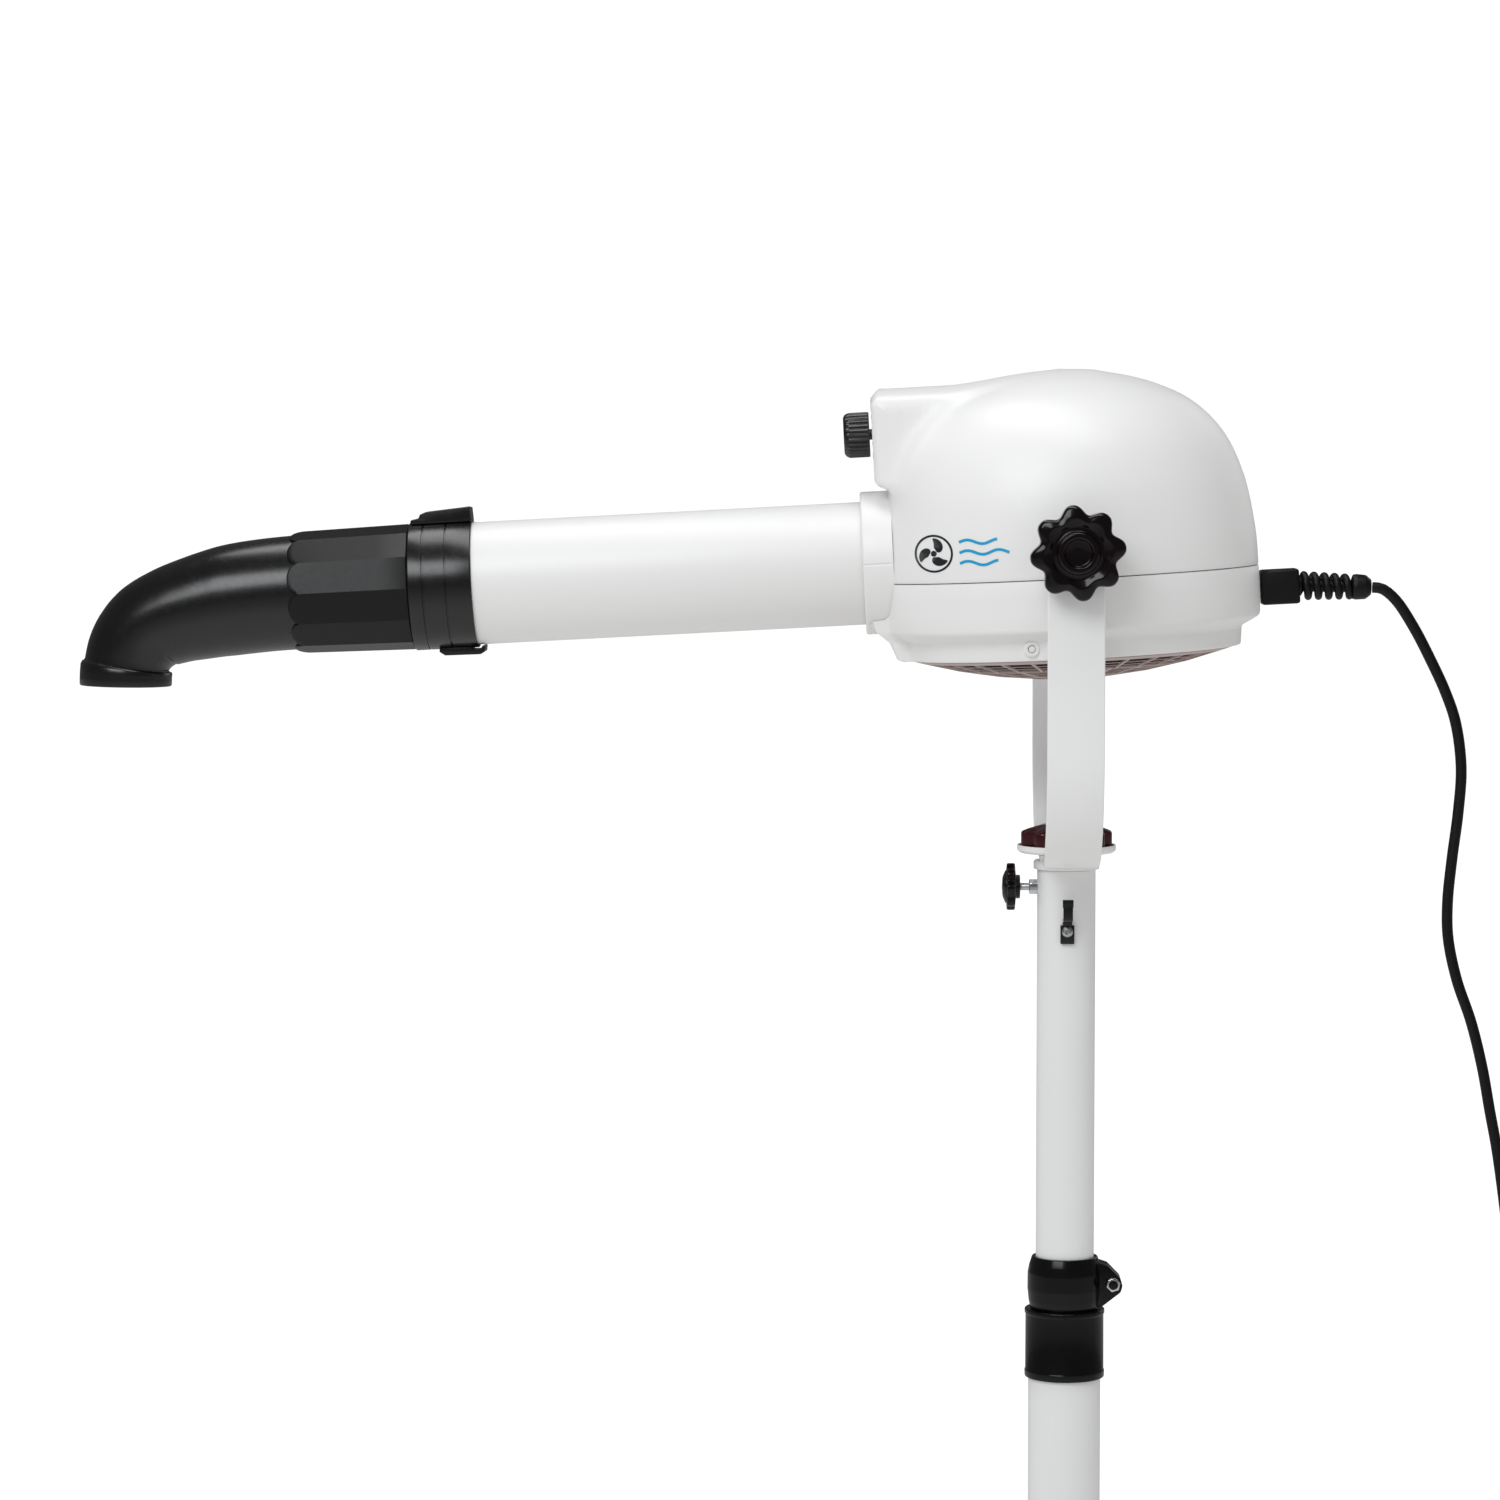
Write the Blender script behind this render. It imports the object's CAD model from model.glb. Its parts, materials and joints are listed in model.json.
"""The looks of a stand hair dryer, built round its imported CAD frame. Blender 4.5, metres."""

import json
import math

import bmesh
import bpy
import numpy as np
from mathutils import Matrix, Vector


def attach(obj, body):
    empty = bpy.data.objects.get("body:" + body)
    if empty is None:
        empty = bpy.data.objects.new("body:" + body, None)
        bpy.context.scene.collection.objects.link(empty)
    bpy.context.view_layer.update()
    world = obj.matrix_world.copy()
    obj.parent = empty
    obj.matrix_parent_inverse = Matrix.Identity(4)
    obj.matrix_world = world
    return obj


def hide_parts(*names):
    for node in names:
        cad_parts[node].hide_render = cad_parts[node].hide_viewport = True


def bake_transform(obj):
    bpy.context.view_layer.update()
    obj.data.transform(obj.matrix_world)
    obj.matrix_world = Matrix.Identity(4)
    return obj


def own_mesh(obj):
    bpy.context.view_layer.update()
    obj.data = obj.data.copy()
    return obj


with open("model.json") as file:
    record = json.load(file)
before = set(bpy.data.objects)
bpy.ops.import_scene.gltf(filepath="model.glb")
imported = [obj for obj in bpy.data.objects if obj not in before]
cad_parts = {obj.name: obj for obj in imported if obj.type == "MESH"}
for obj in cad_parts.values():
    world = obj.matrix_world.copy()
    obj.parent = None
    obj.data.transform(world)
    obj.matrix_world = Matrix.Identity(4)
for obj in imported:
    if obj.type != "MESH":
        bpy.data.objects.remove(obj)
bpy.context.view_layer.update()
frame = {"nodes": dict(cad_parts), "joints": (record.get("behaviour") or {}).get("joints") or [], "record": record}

# ---------------------------------------------------------------- places

JOINTS = {joint["name"]: joint for joint in frame["joints"]}
PIVOT = Vector(JOINTS["head_tilt"]["pos_m"])
DUCT_AXIS = Vector(JOINTS["nozzle_turn"]["axis"])
NOSE_DOWN = math.atan2(DUCT_AXIS.z, DUCT_AXIS.x)
MM = Matrix.Scale(0.001, 4)
WORLD = Matrix.Identity(4)

# Local frames in millimetres. HEAD: tilt axis, x to the back along the duct. YOKE: tilt axis, level.
# MAST: on the floor under the mast.
HEAD = Matrix.Translation(PIVOT) @ Matrix.Rotation(-NOSE_DOWN, 4, "Y") @ MM
YOKE = Matrix.Translation(PIVOT) @ MM
MAST = Matrix.Translation((PIVOT.x, 0, 0)) @ MM


def span(node, place):
    """Lowest and highest corner of a CAD node in a local frame."""
    inverse = place.inverted()
    corners = np.array([inverse @ v.co for v in frame["nodes"][node].data.vertices])
    return corners.min(0), corners.max(0)


# ---------------------------------------------------------------- curves

def through(points, steps):
    """A centripetal Catmull-Rom curve through the points, with that many steps a span."""
    points = [np.array(p, float) for p in points]
    points = [2 * points[0] - points[1], *points, 2 * points[-1] - points[-2]]
    curve = []
    for p0, p1, p2, p3 in zip(points, points[1:], points[2:], points[3:]):
        t1 = np.linalg.norm(p1 - p0) ** 0.5
        t2 = t1 + np.linalg.norm(p2 - p1) ** 0.5
        t3 = t2 + np.linalg.norm(p3 - p2) ** 0.5
        for t in np.linspace(t1, t2, steps, endpoint=False):
            a1 = (t1 - t) / t1 * p0 + t / t1 * p1
            a2 = (t2 - t) / (t2 - t1) * p1 + (t - t1) / (t2 - t1) * p2
            a3 = (t3 - t) / (t3 - t2) * p2 + (t - t2) / (t3 - t2) * p3
            b1 = (t2 - t) / t2 * a1 + t / t2 * a2
            b2 = (t3 - t) / (t3 - t1) * a2 + (t - t1) / (t3 - t1) * a3
            curve.append((t2 - t) / (t2 - t1) * b1 + (t - t1) / (t2 - t1) * b2)
    curve.append(points[-2])
    return np.array(curve)


def even(curve, spacing):
    """The same curve with its points an even distance apart."""
    walked = np.concatenate([[0], np.cumsum(np.linalg.norm(np.diff(curve, axis=0), axis=1))])
    wanted = np.linspace(0, walked[-1], max(2, round(walked[-1] / spacing) + 1))
    return np.stack([np.interp(wanted, walked, curve[:, k]) for k in range(curve.shape[1])], 1)


def soft(outline, closed=True, steps=4):
    """An outline of (u, v) and (u, v, radius) points, with an arc at each point that has a radius."""
    smooth = []
    count = len(outline)
    for i, point in enumerate(outline):
        here = np.array(point[:2], float)
        if len(point) < 3 or (not closed and i in (0, count - 1)):
            smooth.append(tuple(here))
            continue
        back = np.array(outline[i - 1][:2], float) - here
        ahead = np.array(outline[(i + 1) % count][:2], float) - here
        reach = (np.linalg.norm(back), np.linalg.norm(ahead))
        back, ahead = back / reach[0], ahead / reach[1]
        half = math.acos(max(-1, min(1, float(back @ ahead)))) / 2
        if half > 1.55:
            smooth.append(tuple(here))
            continue
        run = min(point[2] / math.tan(half), 0.49 * min(reach))
        centre = here + (back + ahead) / np.linalg.norm(back + ahead) * run / math.cos(half)
        first, last = here + back * run - centre, here + ahead * run - centre
        start = math.atan2(first[1], first[0])
        sweep = (math.atan2(last[1], last[0]) - start + math.pi) % (2 * math.pi) - math.pi
        size = np.linalg.norm(first)
        for k in range(steps + 1):
            angle = start + sweep * k / steps
            smooth.append((centre[0] + size * math.cos(angle), centre[1] + size * math.sin(angle)))
    return smooth


# ---------------------------------------------------------------- shapes, as (points, faces)

ONTO = {
    "x": lambda u, v, w: (w, u, v),
    "y": lambda u, v, w: (v, w, u),
    "z": lambda u, v, w: (u, v, w),
}


def around(count):
    """Angles evenly spaced round a circle."""
    return [2 * math.pi * k / count for k in range(count)]


def polar(r, angle, centre=(0, 0)):
    return centre[0] + r * math.cos(angle), centre[1] + r * math.sin(angle)


def loft(rings, closed=False):
    """A skin over rings of points, and back to the first ring if closed."""
    count = len(rings[0])
    points = [tuple(p) for ring in rings for p in ring]
    faces = []
    for i in range(len(rings) if closed else len(rings) - 1):
        a, b = i * count, (i + 1) % len(rings) * count
        for k in range(count):
            n = (k + 1) % count
            faces.append((a + k, a + n, b + n, b + k))
    return points, faces


def capped(rings):
    """A skin over rings, with each end drawn together in a point."""
    ends = [[tuple(np.mean(ring, 0))] * len(ring) for ring in (rings[0], rings[-1])]
    return loft([ends[0], *rings, ends[1]])


def revolve(profile, axis="z", steps=96, swell=None, at=(0, 0, 0), arc=4):
    """A solid of revolution from (radius, along) points, rounded by soft() with arc steps at a corner.

    It is a ring if the profile starts off the axis. swell(angle, radius) makes it uneven.
    """
    closed = profile[0][0] > 0
    rings = []
    for r, along in soft(profile, closed, arc):
        ring = []
        for angle in around(steps):
            size = swell(angle, r) if swell and r > 0 else r
            point = ONTO[axis](*polar(size, angle), along)
            ring.append([p + q for p, q in zip(point, at)])
        rings.append(ring)
    return loft(rings, closed)


def rod(axis, r, low, high, at=(0, 0, 0), edge=0.3, steps=48):
    return revolve([(0, low), (r, low, edge), (r, high, edge), (0, high)], axis, steps, at=at, arc=3)


def tube(path, radius, sides=20):
    """A round tube along points, with flat ends. radius is a number or a function of the share walked."""
    path = [Vector(p) for p in path]
    size = radius if callable(radius) else (lambda share: radius)
    heading = (path[1] - path[0]).normalized()
    side = heading.orthogonal().normalized()
    rings = []
    for i, here in enumerate(path):
        ahead = (path[min(i + 1, len(path) - 1)] - path[max(i - 1, 0)]).normalized()
        side = (heading.rotation_difference(ahead) @ side).normalized()
        heading = ahead
        up = heading.cross(side)
        r = size(i / (len(path) - 1))
        rings.append([here + side * (r * math.cos(a)) + up * (r * math.sin(a)) for a in around(sides)])
    return loft([[path[0]] * sides, *rings, [path[-1]] * sides])


def shape_of(build):
    """The points and faces of a bmesh, which is freed."""
    build.verts.index_update()
    shape = [tuple(v.co) for v in build.verts], [[v.index for v in f.verts] for f in build.faces]
    build.free()
    return shape


def prism(axis, outline, low, high, edge=0, at=(0, 0, 0)):
    """An outline of (y, z), (x, z) or (x, y) points made thick along its axis, with rounded edges."""
    build = bmesh.new()
    outline = soft(outline)
    count = len(outline)
    ends = []
    for along in (low, high):
        ring = []
        for u, v in outline:
            point = (u, along, v) if axis == "y" else ONTO[axis](u, v, along)
            ring.append(build.verts.new([p + q for p, q in zip(point, at)]))
        ends.append(ring)
    build.faces.new(ends[0][::-1])
    build.faces.new(ends[1])
    for k in range(count):
        n = (k + 1) % count
        build.faces.new((ends[0][k], ends[0][n], ends[1][n], ends[1][k]))
    bmesh.ops.recalc_face_normals(build, faces=build.faces)
    if edge:
        sharp = [e for e in build.edges if e.calc_face_angle(0) > 0.6]
        bmesh.ops.bevel(build, geom=sharp, offset=edge, segments=3, profile=0.5, affect="EDGES")
    return shape_of(build)


def block(x, y, z, edge=0.5):
    outline = [(x[0], y[0]), (x[1], y[0]), (x[1], y[1]), (x[0], y[1])]
    return prism("z", outline, z[0], z[1], edge)


def turned(shape, matrix):
    points, faces = shape
    return [tuple(matrix @ Vector(p)) for p in points], faces


def hexagon(across, turn=0):
    return [polar(across / math.sqrt(3), turn + k * math.pi / 3) for k in range(6)]


# ---------------------------------------------------------------- pieces

def mesh_of(name, place, shapes):
    build = bmesh.new()
    for points, faces in shapes:
        corners = [build.verts.new(place @ Vector(p)) for p in points]
        for face in faces:
            build.faces.new([corners[i] for i in face])
    bmesh.ops.remove_doubles(build, verts=build.verts, dist=2e-6)
    bmesh.ops.dissolve_degenerate(build, edges=build.edges, dist=1e-7)
    bmesh.ops.recalc_face_normals(build, faces=build.faces)
    mesh = bpy.data.meshes.new(name)
    build.to_mesh(mesh)
    build.free()
    return mesh


def linked(name, mesh):
    thing = bpy.data.objects.new(name, mesh)
    bpy.context.scene.collection.objects.link(thing)
    return thing


def settled(thing):
    """Makes an object's modifiers part of its mesh."""
    graph = bpy.context.evaluated_depsgraph_get()
    thing.data = bpy.data.meshes.new_from_object(thing.evaluated_get(graph))
    thing.modifiers.clear()


def drilled(thing, place, holes):
    for hole in holes:
        tool = linked("tool", mesh_of("tool", place, [hole]))
        cut = thing.modifiers.new("cut", "BOOLEAN")
        cut.operation = "DIFFERENCE"
        cut.solver = "EXACT"
        cut.object = tool
        settled(thing)
        bpy.data.objects.remove(tool)


def finished(thing, body, finish, nodes=(), sharp=35):
    """Gives an object its material. It rides on its body, if it has one, and stands for its CAD nodes."""
    thing.data.materials.clear()
    thing.data.materials.append(FINISHES[finish])
    thing.data.shade_smooth()
    thing.data.set_sharp_from_angle(angle=math.radians(sharp))
    if body:
        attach(thing, body)
    if nodes:
        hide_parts(*nodes)
    return thing


def piece(name, body, finish, place, shapes, nodes=(), holes=(), sharp=35):
    """One object of closed shapes in its place, with holes cut in it."""
    thing = linked(name, mesh_of(name, place, shapes))
    drilled(thing, place, holes)
    return finished(thing, body, finish, nodes, sharp)


# ---------------------------------------------------------------- materials

RELIEF = 0.0002  # metres

def node_maker(tree):
    """A function that makes a node with these inputs, each a value or another node's output."""
    def node(kind, inputs=(), **settings):
        made = tree.nodes.new(kind)
        for key, value in settings.items():
            setattr(made, key, value)
        for socket, value in dict(inputs).items():
            if isinstance(value, bpy.types.NodeSocket):
                tree.links.new(value, made.inputs[socket])
            else:
                made.inputs[socket].default_value = value
        return made
    return node


def principled(name, **constants):
    """A new material with these shader constants, and makers of its nodes and of links to its shader."""
    finish = bpy.data.materials.new(name)
    finish.use_nodes = True
    shader = finish.node_tree.nodes["Principled BSDF"]
    for socket, value in constants.items():
        shader.inputs[socket.replace("_", " ")].default_value = value

    def wire(made, output, socket):
        finish.node_tree.links.new(made.outputs[output], shader.inputs[socket])

    return finish, node_maker(finish.node_tree), wire


def mottled(node, wire, noise, colours):
    """The base colour wanders between two colours with a noise."""
    low, high = [(*colour, 1) for colour in colours]
    mixed = {"Factor": noise.outputs["Fac"], "A": low, "B": high}
    wire(node("ShaderNodeMix", mixed, data_type="RGBA"), "Result", "Base Color")


def uneven(node, wire, noise, low, high):
    """The roughness wanders between two values with a noise."""
    limits = {"Value": noise.outputs["Fac"], "To Min": low, "To Max": high}
    wire(node("ShaderNodeMapRange", limits), "Result", "Roughness")


def raised(node, wire, noise, strength):
    """A noise stands out of the surface by up to RELIEF."""
    relief = {"Height": noise.outputs["Fac"], "Strength": strength, "Distance": RELIEF}
    wire(node("ShaderNodeBump", relief), "Normal", "Normal")


def grained(name, colours, rough, grain, depth, patch=25, spread=0.06, **constants):
    """Two close colours in soft patches, roughness that wanders, and a fine grain in the surface."""
    finish, node, wire = principled(name, **constants)
    place = node("ShaderNodeTexCoord").outputs["Object"]
    patches = node("ShaderNodeTexNoise", {"Vector": place, "Scale": patch, "Detail": 4, "Roughness": 0.6})
    mottled(node, wire, patches, colours)
    wander = node("ShaderNodeTexNoise", {"Vector": place, "Scale": patch * 6, "Detail": 3})
    uneven(node, wire, wander, rough - spread, rough + spread)
    if depth:
        raised(node, wire, node("ShaderNodeTexNoise", {"Vector": place, "Scale": grain, "Detail": 2}), depth)
    return finish


def brushed(name, colours, rough, stretch):
    """Bare metal: fine streaks along one direction in its colour, roughness and surface."""
    finish, node, wire = principled(name, Metallic=1.0)
    place = node("ShaderNodeTexCoord").outputs["Object"]
    drawn = node("ShaderNodeMapping", {"Vector": place, "Scale": stretch}).outputs["Vector"]
    streaks = node("ShaderNodeTexNoise", {"Vector": drawn, "Scale": 1.0, "Detail": 5})
    mottled(node, wire, streaks, colours)
    uneven(node, wire, streaks, rough - 0.06, rough + 0.1)
    raised(node, wire, streaks, 0.08)
    return finish


FINISHES = {
    "white_plastic": grained("white_plastic", [(0.8, 0.795, 0.785), (0.81, 0.805, 0.795)], 0.38, 900, 0,
                             spread=0.02, Specular_IOR_Level=0.45),
    "white_paint": grained("white_paint", [(0.83, 0.83, 0.825), (0.86, 0.86, 0.855)], 0.4, 2200, 0.08,
                           Coat_Weight=0.15, Coat_Roughness=0.25),
    "black_plastic": grained("black_plastic", [(0.003, 0.0028, 0.003), (0.005, 0.0047, 0.005)], 0.25, 2600,
                             0.1, patch=60, Specular_IOR_Level=0.62),
    "grip_plastic": grained("grip_plastic", [(0.003, 0.0028, 0.003), (0.006, 0.0057, 0.006)], 0.34, 1800,
                            0.25, patch=90, Specular_IOR_Level=0.3),
    "knob_plastic": grained("knob_plastic", [(0.002, 0.0015, 0.0015), (0.006, 0.002, 0.0025)], 0.14, 1500, 0,
                            patch=40, Specular_IOR_Level=0.35),
    "clamp_plastic": grained("clamp_plastic", [(0.002, 0.002, 0.002), (0.004, 0.0038, 0.004)], 0.2, 2000,
                             0.05, patch=50, Specular_IOR_Level=0.32),
    "nut_plastic": grained("nut_plastic", [(0.07, 0.006, 0.01), (0.022, 0.003, 0.004)], 0.15, 1500, 0,
                           patch=40, Specular_IOR_Level=0.5),
    "grille_plastic": grained("grille_plastic", [(0.42, 0.31, 0.29), (0.52, 0.41, 0.39)], 0.3, 1500, 0,
                              patch=50, Specular_IOR_Level=0.5),
    "screen": grained("screen", [(0.006, 0.002, 0.0015), (0.014, 0.005, 0.0045)], 0.6, 3000, 0.3, patch=200),
    "rubber": grained("rubber", [(0.0025, 0.0025, 0.0025), (0.004, 0.004, 0.004)], 0.45, 3200, 0.2, patch=70,
                      Specular_IOR_Level=0.3),
    "tread": grained("tread", [(0.02, 0.02, 0.021), (0.035, 0.035, 0.036)], 0.6, 2500, 0.4, patch=80),
    "print": grained("print", [(0.006, 0.01, 0.014), (0.01, 0.014, 0.018)], 0.35, 2000, 0.1),
    "print_teal": grained("print_teal", [(0.0, 0.3, 0.55), (0.01, 0.35, 0.62)], 0.35, 2000, 0.1),
    "steel": brushed("steel", [(0.5, 0.51, 0.52), (0.68, 0.69, 0.7)], 0.3, (900, 60, 60)),
    "chrome": brushed("chrome", [(0.72, 0.73, 0.75), (0.82, 0.83, 0.85)], 0.12, (60, 60, 500)),
    "copper": brushed("copper", [(0.45, 0.24, 0.14), (0.62, 0.36, 0.22)], 0.38, (60, 900, 60)),
    "mica": grained("mica", [(0.42, 0.34, 0.22), (0.56, 0.47, 0.33)], 0.55, 900, 0.4, patch=120),
}

# ---------------------------------------------------------------- camera, light and floor

DIFFUSE_LIGHT = 0.415
GLOSSY_LIGHT = 0.11  # lower than the diffuse light, so that black plastic stays black
BACKGROUND = 1.05  # just over white
# metres from the tilt axis
CAMERA_PLACE = (-0.105, -2.6, 0.06)
CAMERA_TARGET = (-0.1735, 0, -0.1112)
LIGHT_TARGET = (-0.1, 0, -0.1)
FLOOR_R = 15
FLOOR_DARKEST = (0, -1.2, 0)
# distances from FLOOR_DARKEST, and how much the floor glows there
FLOOR_GLOW = {"From Min": 1.0, "From Max": 4.3, "To Min": 0.06, "To Max": 0.8}


def look_at(thing, place, target):
    """Puts a camera or light at a place and turns it to its target, both from the tilt axis."""
    place, target = PIVOT + Vector(place), PIVOT + Vector(target)
    thing.location = place
    thing.rotation_euler = (target - place).to_track_quat("-Z", "Y").to_euler()
    bpy.context.scene.collection.objects.link(thing)


def add_camera():
    data = bpy.data.cameras.new("camera")
    data.sensor_width = 36
    data.lens = 114.1
    camera = bpy.data.objects.new("camera", data)
    look_at(camera, CAMERA_PLACE, CAMERA_TARGET)
    bpy.context.scene.camera = camera


def add_light(name, place, size, power, tint=(1, 1, 1)):
    data = bpy.data.lights.new(name, "AREA")
    data.shape = "RECTANGLE"
    data.size, data.size_y = size
    data.energy = power
    data.color = tint
    look_at(bpy.data.objects.new(name, data), place, LIGHT_TARGET)


def add_world():
    """White for the camera, and a dimmer light for everything else."""
    world = bpy.data.worlds.new("studio")
    world.use_nodes = True
    node = node_maker(world.node_tree)
    seen = world.node_tree.nodes["Background"]
    seen.inputs["Color"].default_value = (1, 1, 1, 1)
    seen.inputs["Strength"].default_value = BACKGROUND
    ray = node("ShaderNodeLightPath").outputs
    levels = {"Value": ray["Is Glossy Ray"], "To Min": DIFFUSE_LIGHT, "To Max": GLOSSY_LIGHT}
    strength = node("ShaderNodeMapRange", levels).outputs["Result"]
    lit = node("ShaderNodeBackground", {"Color": (0.97, 0.985, 1, 1), "Strength": strength})
    mixed = {0: ray["Is Camera Ray"], 1: lit.outputs[0], 2: seen.outputs[0]}
    shown = node("ShaderNodeMixShader", mixed).outputs[0]
    world.node_tree.links.new(shown, world.node_tree.nodes["World Output"].inputs["Surface"])
    bpy.context.scene.world = world


def add_floor():
    """A disc that glows more with the distance, so that it runs into the white behind it."""
    floor = linked("floor", mesh_of("floor", WORLD, [revolve([(0, 0), (FLOOR_R, 0)])]))
    finish, node, wire = principled("floor", Roughness=0.7, Emission_Color=(1, 1, 1, 1))
    place = node("ShaderNodeTexCoord").outputs["Object"]
    patches = node("ShaderNodeTexNoise", {"Vector": place, "Scale": 2, "Detail": 4})
    mottled(node, wire, patches, [(0.82, 0.805, 0.785), (0.85, 0.84, 0.82)])
    away = node("ShaderNodeVectorMath", {0: place, 1: FLOOR_DARKEST}, operation="DISTANCE")
    glow = node("ShaderNodeMapRange", {"Value": away.outputs["Value"], **FLOOR_GLOW}).outputs["Result"]
    mirrored = node("ShaderNodeLightPath").outputs["Is Glossy Ray"]
    glow = node("ShaderNodeMath", {0: glow, 1: mirrored}, operation="SUBTRACT", use_clamp=True)
    wire(glow, "Value", "Emission Strength")
    floor.data.materials.append(finish)


bpy.context.scene.view_settings.view_transform = "Standard"
add_camera()
add_world()
add_light("key", (-1.0, -1.9, 1.3), (1.5, 1.0), 24.5, (0.96, 0.985, 1))
add_light("top", (-0.25, -0.1, 1.8), (2.4, 0.7), 19)
add_light("back", (1.6, 2.2, 0.8), (1.6, 1.6), 6)
add_floor()

# ---------------------------------------------------------------- mains lead

LEAD_R = 0.003
# The lead's middle line in the MAST frame: from the head down to 800 mm, and from there to its coil.
UPPER_ROUTE = [
    (166, 0, 1178.2), (171, 0, 1177.6), (178.5, 0, 1171.6), (188.3, 0, 1157), (198.3, 0, 1138),
    (206.2, 0, 1121), (211.8, 0, 1104.6), (215.1, 0, 1080), (213.7, 0, 1055.3), (210.6, 0, 1030),
    (208.4, 0, 1006), (208.8, 0, 987), (213.6, 0, 964), (221.9, 0, 940), (228.2, 0, 915),
    (232.6, 0, 891), (236.6, 0, 870), (241.6, 0, 835), (245.6, 0, 800),
]
LOWER_ROUTE = [
    (245.7, 0, 799.6), (251, 0, 750), (257.5, 0, 690), (264.5, 0, 620), (272, 0, 540), (279.5, 0, 460),
    (287, -0.5, 375), (294, -1, 285), (299.5, -1.5, 200), (303, -2, 130), (305.6, -2, 78),
    (309.6, -2, 41), (318.5, -2, 16), (333, -2, 4.6), (342, -2, 3.4), (349.8, -2, 3.3),
]
CORD_STEP = 0.003  # metres between points along a cord
COIL_INNER, COIL_OUTER = 28, 40  # middle of the innermost and outermost turns
TURN_POINTS = 48
LAYERS = (3.7, 9.8)  # height of the two layers of turns
PLUG_Z = 11.1


def coil_points(centre):
    """Three turns inwards on the floor, then outwards on top of them. Each turn shifts near its end."""
    inwards = [COIL_OUTER, (COIL_INNER + COIL_OUTER) / 2, COIL_INNER]
    sizes = inwards + inwards[::-1]
    heights = [LAYERS[0]] * 3 + [LAYERS[1]] * 3
    turns = 5.25
    points = []
    for k in range(1, round(turns * TURN_POINTS) + 1):
        turn, share = divmod(k / TURN_POINTS, 1)
        turn = int(turn)
        following = min(turn + 1, 5)
        shift = max(0, (share - 0.75) / 0.25)
        shift = shift * shift * (3 - 2 * shift)
        r = sizes[turn] + (sizes[following] - sizes[turn]) * shift
        z = heights[turn] + (heights[following] - heights[turn]) * shift
        angle = 2 * math.pi * k / TURN_POINTS - math.pi / 2
        points.append((*polar(r, angle, centre), z))
    return points


def add_lead():
    coil_low, coil_high = span("lead_coil", MAST)
    centre = (coil_low + coil_high) / 2
    upper = even(through([MAST @ Vector(p) for p in UPPER_ROUTE], 12), CORD_STEP)
    entry = [(centre[0] + x, centre[1] - COIL_OUTER, z) for x, z in ((-16, 3.5), (-8, 3.6), (0, 3.7))]
    run = even(through([MAST @ Vector(p) for p in [*LOWER_ROUTE, *entry]], 12), CORD_STEP)
    tail = [(centre[0] + COIL_OUTER, centre[1] + y, z)
            for y, z in ((8, 9.9), (18, 10.3), (28, 10.8), (38.5, 11))]
    wound = through([MAST @ Vector(p) for p in [*coil_points(centre), *tail]], 2)
    lower = np.concatenate([run, wound])
    top = piece("lead_upper_cord", None, "rubber", WORLD, [tube(upper, LEAD_R)], ["lead_upper"])
    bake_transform(top)
    bottom = piece("lead_lower_cord", "fork", "rubber", WORLD, [tube(lower, LEAD_R)],
                   ["lead_lower", "lead_coil"])
    return bottom, lower, centre


def coil_tie(centre):
    """A strap round the bundle of turns."""
    inside, outside, floor, top = COIL_INNER - 3.6, COIL_OUTER + 3.6, 0.5, LAYERS[1] + 3.6
    loop = soft([(inside, floor, 2.5), (outside, floor, 2.5), (outside, top, 2.5), (inside, top, 2.5)])
    middle = ((inside + outside) / 2, (floor + top) / 2)
    heading = math.radians(120)
    along = Vector((math.cos(heading), math.sin(heading), 0))
    across = Vector((-along.y, along.x, 0))
    rings = []
    for grow, side in ((0, -3.5), (0.5, -3.5), (0.5, 3.5), (0, 3.5)):
        ring = []
        for u, v in loop:
            out = Vector((u - middle[0], v - middle[1]))
            u, v = Vector((u, v)) + out.normalized() * grow
            ring.append(Vector((centre[0], centre[1], v)) + along * u + across * side)
        rings.append(ring)
    return loft(rings, closed=True)


def add_plug():
    """A moulded two-pin plug lying flat, with its ribbed tail towards -y and its pins towards +y."""
    low, high = span("plug", MAST)
    middle, back = (low[0] + high[0]) / 2, low[1]
    body = []
    sections = [(0, 4.4, 4.4), (2, 4.6, 4.6), (9, 5.4, 5.4), (13, 8, 7), (19, 12.5, 9.2), (25, 15.8, 10.3),
                (31, 16.8, 10.7), (39, 16.8, 10.7), (41.4, 16.2, 10.1), (42, 15.2, 9.2)]
    for y, wide, tall in [(0, 0, 0), *sections, (42, 0, 0)]:
        power = 0.55 if y > 10 else 1  # under 1, the section is nearly square
        ring = []
        for c, s in [polar(1, angle) for angle in around(48)]:
            u = math.copysign(abs(c) ** power, c) * wide
            v = math.copysign(abs(s) ** power, s) * tall
            ring.append((middle + u, back + y, PLUG_Z + v))
        body.append(ring)
    ribs = [revolve([(3.2, y), (5.9, y, 0.5), (5.9, y + 1.6, 0.5), (3.2, y + 1.6)], "y", 32,
                    at=(middle, back, PLUG_Z)) for y in (2, 5, 8)]
    pins = [revolve([(0, 41), (2.4, 41), (2.4, 60, 1.6), (0, 61)], "y", 32, at=(middle + x, back, PLUG_Z))
            for x in (-9.5, 9.5)]
    return [piece("plug_body", "fork", "rubber", MAST, [loft(body), *ribs], ["plug"]),
            piece("plug_pins", "fork", "steel", MAST, pins)]


lead_bottom, lead_path, coil_centre = add_lead()
plug_pieces = add_plug()
tie = piece("coil_tie", "fork", "tread", MAST, [coil_tie(coil_centre)])
for part in [lead_bottom, *plug_pieces, tie]:
    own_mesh(part)

# ---------------------------------------------------------------- head shells

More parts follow.
